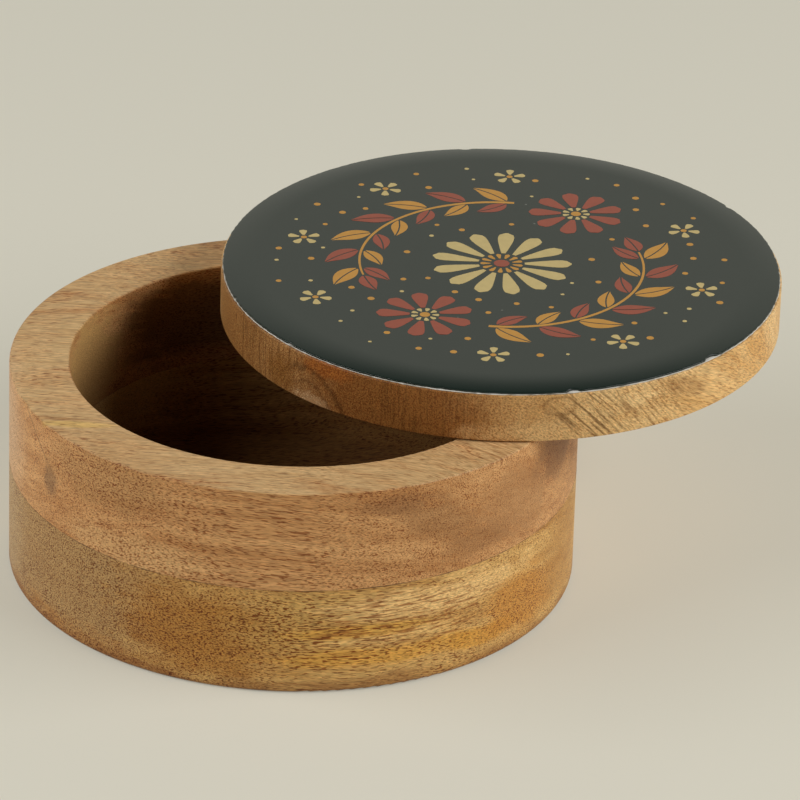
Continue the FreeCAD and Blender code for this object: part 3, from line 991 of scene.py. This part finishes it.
@dataclass
class FloralPrint:
    """A generic folk wreath: two leafy arcs round a blossom, with two blossoms, florets and seed dots.

    Attributes:
        middle: the blossom in the middle.
        beside: the blossoms between the arcs.
        ring: radius of the wreath, in mm.
        gaps: angles that an arc leaves free before and after it, in radians.
        stem: half width of a stem, in mm.
        vein: half width of a leaf's vein, in mm.
        nodes: pairs of leaves on each arc.
        leaves: length and half width of the outer and the inner leaf of a pair, in mm.
        root: distance from the stem's middle to a leaf, in half widths of the stem.
        splay: angle between a leaf and the stem, in radians.
        curl: how far a leaf bends back along the stem, in radians.
        tip: length and half width of the leaf at the tip, in mm, and how far it bends, in radians.
        outer_ring: radius on which the florets stand, in mm.
        florets: angles of the florets on each half, in radians.
        field_radius: radius that the print keeps inside, in mm.
        seeds: number of seed dots tried.
        seed_sizes: least and largest radius of a seed dot, in mm.
        cream_below: radius below which a seed dot is cream, in mm.
        seed_room: distance from a seed dot to other motifs, in mm.
        seed_gap: distance between seed dots, in mm.
    """

    middle: Blossom = Blossom(Ink.CREAM, Ink.GOLD, Ink.RED, 13, 5.2, 10.6, 2.5)
    beside: Blossom = Blossom(Ink.RED, Ink.CREAM, Ink.GOLD, 9, 3.4, 7.4, 2.5)
    ring: float = 32.0
    gaps: Pair = (0.47, 0.76)
    stem: float = 0.5
    vein: float = 0.17
    nodes: int = 7
    leaves: tuple[Pair, Pair] = ((10.6, 2.3), (8.6, 1.9))
    root: float = 2.2
    splay: float = 0.9
    curl: float = 0.45
    tip: Triple = (8.0, 2.0, 0.25)
    outer_ring: float = 46.0
    florets: tuple[float, ...] = (0.52, 1.18, 1.9, 2.58)
    field_radius: float = 51.5
    seeds: int = 420
    seed_sizes: Pair = (0.4, 0.85)
    cream_below: float = 0.55
    seed_room: float = 2.4
    seed_gap: float = 5.5
    inks: dict[Ink, Motifs] = field(default_factory=lambda: {ink: Motifs() for ink in Ink})

    def draw(self) -> None:
        """Draws every motif."""
        self._blossom(np.zeros(2), self.middle)
        for start in (0.0, math.pi):
            self._arc(start + self.gaps[0], start + math.pi - self.gaps[1])
            self._blossom(self.ring * heading(start), self.beside)
            for turn in self.florets:
                self._floret(self.outer_ring * heading(start + turn), turn)
        self._seed_dots()

    def _arc(self, first: float, last: float) -> None:
        """A stem along the wreath with pairs of leaves, red and gold by turns, and a leaf at its tip.

        Args:
            first: angle where the stem starts, in radians.
            last: angle of its tip, in radians.
        """
        self.inks[Ink.GOLD].stem(self.ring * heading(np.linspace(first, last, 64)), self.stem)
        for count, angle in enumerate(np.linspace(first + 0.04, last - 0.12, self.nodes)):
            inks = (Ink.RED, Ink.GOLD) if count % 2 else (Ink.GOLD, Ink.RED)
            for ink, side, (length, width) in zip(inks, (-1.0, 1.0), self.leaves):
                way = angle + QUARTER + side * self.splay
                base = self.ring * heading(angle) + self.root * self.stem * heading(way)
                self.inks[ink].leaf(base, way, length, width, -self.curl * side, self.vein)
        self.inks[Ink.RED].leaf(self.ring * heading(last + 0.02), last + QUARTER, *self.tip, self.vein)

    def _blossom(self, middle: Array, blossom: Blossom) -> None:
        """Draws a blossom. Its small petals and its heart are shares of its petals.

        Args:
            middle: its centre.
            blossom: its sizes and inks.
        """
        outer, inner = self.inks[blossom.outer], self.inks[blossom.inner]
        start, width = blossom.start, blossom.width
        for turn in angles(blossom.petals):
            between = turn + math.pi / blossom.petals
            outer.petal(middle + start * heading(turn), turn, blossom.length, width)
            inner.petal(middle + 0.48 * start * heading(between), between, 0.45 * start, 0.3 * width)
        self.inks[blossom.heart].dot(middle, 0.34 * start)

    def _floret(self, middle: Array, turn: float) -> None:
        """A five-petalled floret with a gold heart.

        Args:
            middle: its centre.
            turn: direction of its first petal, in radians.
        """
        start, length, width, heart = 1.1, 2.6, 1.2, 0.7
        for way in turn + angles(5):
            self.inks[Ink.CREAM].petal(middle + start * heading(way), way, length, width)
        self.inks[Ink.GOLD].dot(middle, heart)

    def _seed_dots(self) -> None:
        """Scatters seed dots where the print leaves room, from a seeded draw."""
        draw = np.random.default_rng(23)
        radius = self.field_radius * np.sqrt(draw.uniform(0.0, 1.0, self.seeds))
        spots = radius[:, None] * heading(draw.uniform(0.0, TURN, self.seeds))
        sizes = draw.uniform(*self.seed_sizes, self.seeds)
        taken = np.concatenate([motifs.points() for motifs in self.inks.values()])
        placed: list[Array] = []
        for spot, size in zip(spots, sizes):
            room = np.linalg.norm(taken - spot, axis=1).min()
            gap = min((float(np.linalg.norm(spot - other)) for other in placed), default=math.inf)
            if room > self.seed_room and gap > self.seed_gap:
                placed.append(spot)
                self.inks[Ink.GOLD if size > self.cream_below else Ink.CREAM].dot(spot, float(size))


@dataclass
class SwivelLid:
    """The lid: a wooden disc, a white ground, the enamel on it and the print on the enamel.

    Attributes:
        chips: places where the edge has broken.
        edge_wave: slow wave of the enamel's edge, in mm.
        edge_fray: fine fray of the same edge, in mm.
        ground_fray: fray of the ground's edge, in mm.
        margin: width of the rounded margin of the enamel, in mm.
        edge_height: thickness of the enamel at its edge, in mm.
        print_lift: step by which each ink stands above the one before it, in mm.
        print_depth: thickness of the print, in mm.
        columns: points round the edge.
    """

    chips: tuple[Chip, ...] = (
        Chip(219.3, 0.9, 0.55), Chip(255.2, 0.7, 0.4), Chip(281.8, 1.4, 0.85), Chip(314.6, 1.7, 0.85),
        Chip(196.0, 0.6, 0.4), Chip(95.0, 1.2, 0.7), Chip(31.0, 0.8, 0.5),
    )
    edge_wave: float = 0.14
    edge_fray: float = 0.05
    ground_fray: float = 0.06
    margin: float = 8.0
    edge_height: float = 0.35
    print_lift: float = 0.012
    print_depth: float = 0.05
    columns: int = 900
    centre: Pair = field(init=False)
    radius: float = field(init=False)
    base: float = field(init=False)
    top: float = field(init=False)
    ground_radius: float = field(init=False)
    ground_base: float = field(init=False)
    swing: float = field(init=False)

    def __post_init__(self) -> None:
        """Reads the lid's sizes and its turn from the frame."""
        low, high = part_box("enamel_face")
        middle = (low + high) / (2.0 * MM)
        self.centre = (middle.x, middle.y)
        self.radius = (high.x - low.x) / (2.0 * MM)
        self.base, self.top = low.z / MM, high.z / MM
        low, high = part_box("enamel_ground")
        self.ground_radius = (high.x - low.x) / (2.0 * MM)
        self.ground_base = low.z / MM
        pivot = Vector(frame["joints"][0]["pos_m"]) / MM
        self.swing = math.atan2(pivot.y - middle.y, pivot.x - middle.x) - QUARTER

    def dress(self) -> None:
        """Gives the lid's board and the plug over the screw their wood."""
        wood = MangoFinish(
            name="mango_lid_board", grain=(25.0, 30.0, 46.0), pale="#eec88c", late="#d3a05c", pore="#ad7b48",
            pore_size=(2.2, 0.3, 0.3), pore_share=0.26, fibre=(3.2, 0.28, 0.28), pore_strength=0.6,
            stipple=0.36,
            patches=(
                Patch((38, -36, 54), (24, 14, 24), "#c2935a", 0.75, ragged=0.3),
                Patch((-4, -6, 54), (32, 36, 40), "#b4854f", 0.94, pores=0.9, ragged=0.4),
                Patch((20, -32.5, 55), (24, 14, 20), "#96602a", 0.92, (0, 0, -23), pores=0.6, ragged=0.4),
                Patch((-17, 2, 55), (12, 26, 24), "#976a37", 0.7, ragged=0.4),
                Patch((-12, -9, 55), (16, 20, 12), "#5a3410", 0.5, (0, -70, -140), lines=(9, 0.5)),
                Patch((6.5, -24.2, 58.8), (7, 6, 2.6), "#b06a2c", 0.85),
                Patch((1.5, -20.5, 47), (8, 8, 7), "#ae8352", 0.7, pores=0.5),
                Patch((3, -21.2, 50), (5, 5, 1.8), "#e2c090", 0.9, pores=1.5),
                Patch((1.5, -20.5, 46.5), (10.6, 10.6, 10.6), "#4f2c0c", 0.5, shell=0.11, ragged=0.2),
                Patch((1.5, -20.5, 46.5), (7.4, 7.4, 7.4), "#5b3615", 0.35, shell=0.1, ragged=0.2),
                Patch((-6.5, -15, 53.5), (6.5, 6, 5.5), "#93642e", 0.85),
                Patch((28, -36, 55), (16, 14, 12), "#57340f", 0.35, (0, -90, -105), lines=(10, 0.5)),
                Patch((50, -38.6, 50.6), (14, 9, 3), "#dcb278", 0.7, (0, 0, 4)),
                Patch((56.5, -38, 57.6), (3.6, 3.6, 2.2), "#7d5224", 0.4, shell=0.25, ragged=0.2),
                Patch((64, -36, 54.5), (11, 6.5, 8), "#6b4319", 0.75, (90, 45, 16), lines=(16, 0.8)),
                Patch((77, -31, 55), (10, 10, 8), "#946634", 0.6, (90, 50, 28), lines=(10, 0.7)),
                Patch((84.6, -26.1, 57), (8, 6, 2), "#a87840", 0.55, (0, 20, 37)),
            ),
        ).build()
        dress("lid_board", wood)
        dress("screw_plug", wood)

    def build(self, enamel: Material, ground: Material) -> None:
        """Builds the ground, the enamel and the print.

        Args:
            enamel: finish of the enamel.
            ground: finish of the ground.
        """
        self._build_ground(ground)
        self._build_enamel(enamel)
        self._build_print()

    def enamel_height(self, radius: Array) -> Array:
        """Height of the enamel's top: flat, then an arc that falls to the edge over the margin.

        Args:
            radius: distance from the lid's axis, in mm.

        Returns:
            Heights in mm.
        """
        fall = self.top - self.base - self.edge_height
        bend = (self.margin ** 2 + fall ** 2) / (2.0 * fall)
        out = np.clip(radius - (self.radius - self.margin), 0.0, self.margin)
        return self.top - (bend - np.sqrt(bend ** 2 - out ** 2))

    def _edge_loss(self, theta: Array) -> Array:
        """How far the enamel's edge is drawn in: wave, fray and chips, each zero or more.

        A chip is depth (1 - (d / width)²)⁺ to a small power, with d the distance along the edge.

        Args:
            theta: angles in radians.

        Returns:
            Inward distances in mm.
        """
        loss = self.edge_wave * (0.5 + 0.5 * sine_noise(theta, np.arange(2, 11), seed=5))
        loss = loss + self.edge_fray * (1.0 + sine_noise(theta, np.arange(40, 220, 9), seed=6))
        for chip in self.chips:
            away = (theta - math.radians(chip.angle) + math.pi) % TURN - math.pi
            near = np.maximum(1.0 - (away * self.radius / chip.width) ** 2, 0.0)
            loss = np.maximum(loss, chip.depth * near ** 0.4)
        return np.maximum(loss, 0.0)

    def _build_ground(self, finish: Material) -> None:
        """Builds the ground, a thin disc with a frayed edge.

        Args:
            finish: its material.
        """
        theta = angles(self.columns)
        fray = self.ground_fray * (1.0 + sine_noise(theta, np.arange(25, 190, 11), seed=8))
        radius = self.ground_radius - np.maximum(fray, 0.0)
        share = np.array([0.0, 0.5, 0.997, 1.0, 1.0, 0.997, 0.5, 0.0])[:, None]
        rise = np.array([0.0, 0.0, 0.0, 0.2, 0.85, 1.0, 1.0, 1.0])[:, None]
        levels = self.ground_base + (self.base - self.ground_base) * rise
        piece = turned_piece(
            "enamel_white_ground", self.centre, share * radius, levels + 0.0 * radius, finish, capped=True
        )
        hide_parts("enamel_ground")
        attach(piece, Body.LID.value)
        LOG.info("%s built", piece.name)

    def _build_enamel(self, finish: Material) -> None:
        """Builds the enamel: base, frayed edge, rounded margin and flat top, swept round the lid.

        Args:
            finish: its material.
        """
        edge = self.radius - self._edge_loss(angles(self.columns))
        flat = self.radius - self.margin
        under = np.array([0.0, 0.5, 1.0])[:, None] * (edge - 0.03)
        wall = np.array([[0.1], [0.9]]) * self.edge_height
        crown = flat + np.r_[np.linspace(0.0, 0.96, 23)[1:], 0.996][::-1, None] * (edge - flat)
        top = np.array([1.0, 0.66, 0.33, 0.0])[:, None] * flat + 0.0 * edge
        radii = np.concatenate([under, edge + 0.0 * wall, crown, top])
        lower = self.base + np.concatenate([0.0 * under, wall + 0.0 * edge])
        heights = np.concatenate([lower, self.enamel_height(np.concatenate([crown, top]))])
        piece = turned_piece("enamel_charcoal", self.centre, radii, heights, finish, capped=True)
        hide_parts("enamel_face")
        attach(piece, Body.LID.value)
        LOG.info("%s built", piece.name)

    def _place(self, plan: Array, lift: float) -> Array:
        """Carries the print's plan to the lid: turned with the lid and laid on the enamel.

        Args:
            plan: (n, 2) points in the lid's own plane, in mm.
            lift: height of the print over the enamel, in mm.

        Returns:
            (n, 3) points in metres.
        """
        cos, sin = math.cos(self.swing), math.sin(self.swing)
        x = self.centre[0] + plan[:, 0] * cos - plan[:, 1] * sin
        y = self.centre[1] + plan[:, 0] * sin + plan[:, 1] * cos
        z = self.enamel_height(np.linalg.norm(plan, axis=1)) + lift
        return np.stack([x, y, z], axis=-1) * MM

    def _build_print(self) -> None:
        """Builds the print, one piece for each ink."""
        design = FloralPrint()
        design.draw()
        for count, (ink, motifs) in enumerate(design.inks.items(), start=1):
            faces = motifs.faces()
            points = self._place(motifs.points(), count * self.print_lift)
            finish = InkFinish(ink).build()
            piece = new_piece(f"print_{ink.name.lower()}", points, faces, finish, smooth=False)
            body = piece.modifiers.new("ink_depth", "SOLIDIFY")
            body.thickness = self.print_depth * MM
            body.offset = -1.0
            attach(piece, Body.LID.value)
            LOG.info("%s printed, %d faces", piece.name, len(faces))


@dataclass(frozen=True)
class Softbox:
    """A softbox that faces the box.

    Attributes:
        name: object name.
        azimuth: direction in plan, in degrees, 0 to the right and -90 to the front.
        elevation: height over the horizon, in degrees.
        distance: distance from the origin, in m.
        size: width and height, in m.
        glow: brightness, where 1 is white.
    """

    name: str
    azimuth: float
    elevation: float
    distance: float
    size: Pair
    glow: float

    def build(self) -> None:
        """Hangs the softbox. Its power is glow times pi times its area."""
        lamp = bpy.data.lights.new(self.name, "AREA")
        lamp.shape = "RECTANGLE"
        lamp.size, lamp.size_y = self.size
        lamp.energy = self.glow * math.pi * self.size[0] * self.size[1]
        holder = bpy.data.objects.new(self.name, lamp)
        bpy.context.scene.collection.objects.link(holder)
        turn, rise = math.radians(self.azimuth), math.radians(self.elevation)
        away = Vector((math.cos(turn) * math.cos(rise), math.sin(turn) * math.cos(rise), math.sin(rise)))
        holder.location = away * self.distance
        holder.rotation_mode = "QUATERNION"
        holder.rotation_quaternion = away.to_track_quat("Z", "Y")


@dataclass
class Studio:
    """The glowing table under the box, two softboxes beside it and the pale room that the enamel mirrors.

    Attributes:
        table_radius: radius of the table, in m.
        table_rows: rings of faces in the table.
        table_columns: faces round each ring.
        softboxes: the lamps.
        walls: colour of the room's lower walls behind and beside.
        front: share of that colour in front.
        front_ends: directions towards the back between which the front ends, as sines of the angles.
        ceiling: colour of the room above the walls.
        wall_top: height over the horizon where the walls fade out, as sines of the angles.
        horizon: colour that the camera sees past the table.
    """

    table_radius: float = 12.0
    table_rows: int = 13
    table_columns: int = 96
    softboxes: tuple[Softbox, ...] = (
        Softbox("right_softbox", -20.0, 36.0, 1.35, (1.25, 0.5), 6.2),
        Softbox("left_softbox", 191.0, 38.0, 1.35, (1.25, 0.5), 5.2),
    )
    walls: str = "#bfbdb1"
    front: float = 0.14
    front_ends: Pair = (-0.5, 0.2)
    ceiling: str = "#242422"
    wall_top: Pair = (0.5, 0.8)
    horizon: str = "#cac7b9"

    def build(self) -> None:
        """Sets up the table, the softboxes and the room."""
        self._table()
        for softbox in self.softboxes:
            softbox.build()
        self._room()

    def _table(self) -> None:
        """Lays the table: a disc r = radius s^3, so that its rows are close near the box."""
        theta = angles(self.table_columns)
        radii = np.linspace(0.0, 1.0, self.table_rows + 1)[1:, None] ** 3 * self.table_radius
        flat = np.stack([radii * np.cos(theta), radii * np.sin(theta), 0.0 * radii * theta], axis=-1)
        points = np.concatenate([np.zeros((1, 3)), flat.reshape(-1, 3)])
        index = 1 + np.arange(radii.size * theta.size).reshape(radii.size, theta.size)
        beside = np.roll(index, -1, axis=1)
        quads = np.stack([index[:-1], index[1:], beside[1:], beside[:-1]], axis=-1).reshape(-1, 4)
        fan = np.stack([np.zeros(theta.size, int), index[0], beside[0]], axis=-1)
        table = new_piece("glowing_opal_table", points, fan.tolist() + quads.tolist(), GLOWING_OPAL_ACRYLIC.build())

    def _room(self) -> None:
        """Paints the world: pale walls behind and beside, dim above and in front, pale to the camera."""
        world = bpy.data.worlds.new("pale_room")
        world.use_nodes = True
        tree = world.node_tree
        tree.nodes.clear()
        way = add(tree, "SeparateXYZ", {0: add(tree, "TexCoord")["Generated"]})
        wall = add(tree, "MapRange", {
            "Value": way["Z"], "From Min": self.wall_top[1], "From Max": self.wall_top[0],
        }, interpolation_type="SMOOTHSTEP")[0]
        behind = add(tree, "MapRange", {
            "Value": way["Y"], "From Min": self.front_ends[0], "From Max": self.front_ends[1],
            "To Min": self.front, "To Max": 1.0,
        }, interpolation_type="SMOOTHSTEP")[0]
        share = add(tree, "Math", {0: wall, 1: behind}, operation="MULTIPLY")[0]
        lights = {0: share, MIX_A: linear(self.ceiling), MIX_B: linear(self.walls)}
        light = add(tree, "Mix", lights, data_type="RGBA")[MIXED]
        seen = add(tree, "LightPath")["Is Camera Ray"]
        views = {0: seen, MIX_A: light, MIX_B: linear(self.horizon)}
        shown = add(tree, "Mix", views, data_type="RGBA")[MIXED]
        add(tree, "OutputWorld", {"Surface": add(tree, "Background", {"Color": shown, "Strength": 1.0})[0]})
        bpy.context.scene.world = world


@dataclass
class PhotoCamera:
    """A long lens that looks down on the box, rolled a little.

    Attributes:
        place: where it stands, in m.
        aim: what it looks at, in m.
        lens: focal length, in mm.
        sensor: width of the sensor, in mm.
        roll: turn about its own axis, in degrees.
    """

    place: Triple = (-0.041038, -1.326508, 0.71823)
    aim: Triple = (0.024312, 0.01573, 0.031316)
    lens: float = 300.839
    sensor: float = 36.0
    roll: float = 1.779

    def build(self) -> None:
        """Makes the camera and gives it to the scene."""
        eye = bpy.data.cameras.new("photo_camera")
        eye.sensor_width = self.sensor
        eye.lens = self.lens
        holder = bpy.data.objects.new("photo_camera", eye)
        bpy.context.scene.collection.objects.link(holder)
        look = (Vector(self.aim) - Vector(self.place)).to_track_quat("-Z", "Y").to_matrix()
        turned = look @ Matrix.Rotation(math.radians(self.roll), 3, "Z")
        holder.rotation_mode = "QUATERNION"
        holder.location = self.place
        holder.rotation_quaternion = turned.to_quaternion()
        bpy.context.scene.camera = holder


def main() -> None:
    """Builds the classes in order."""
    logging.basicConfig(level=logging.INFO, format="%(name)s: %(message)s")
    bpy.context.scene.view_settings.view_transform = "Standard"
    PhotoCamera().build()
    Studio().build()
    box = TurnedBox()
    box.dress()
    box.build(WOOD_GLUE.build())
    PivotHardware().dress()
    lid = SwivelLid()
    lid.dress()
    lid.build(EnamelFinish().build(), WHITE_PRIMER.build())


if __name__ == "__main__":
    main()
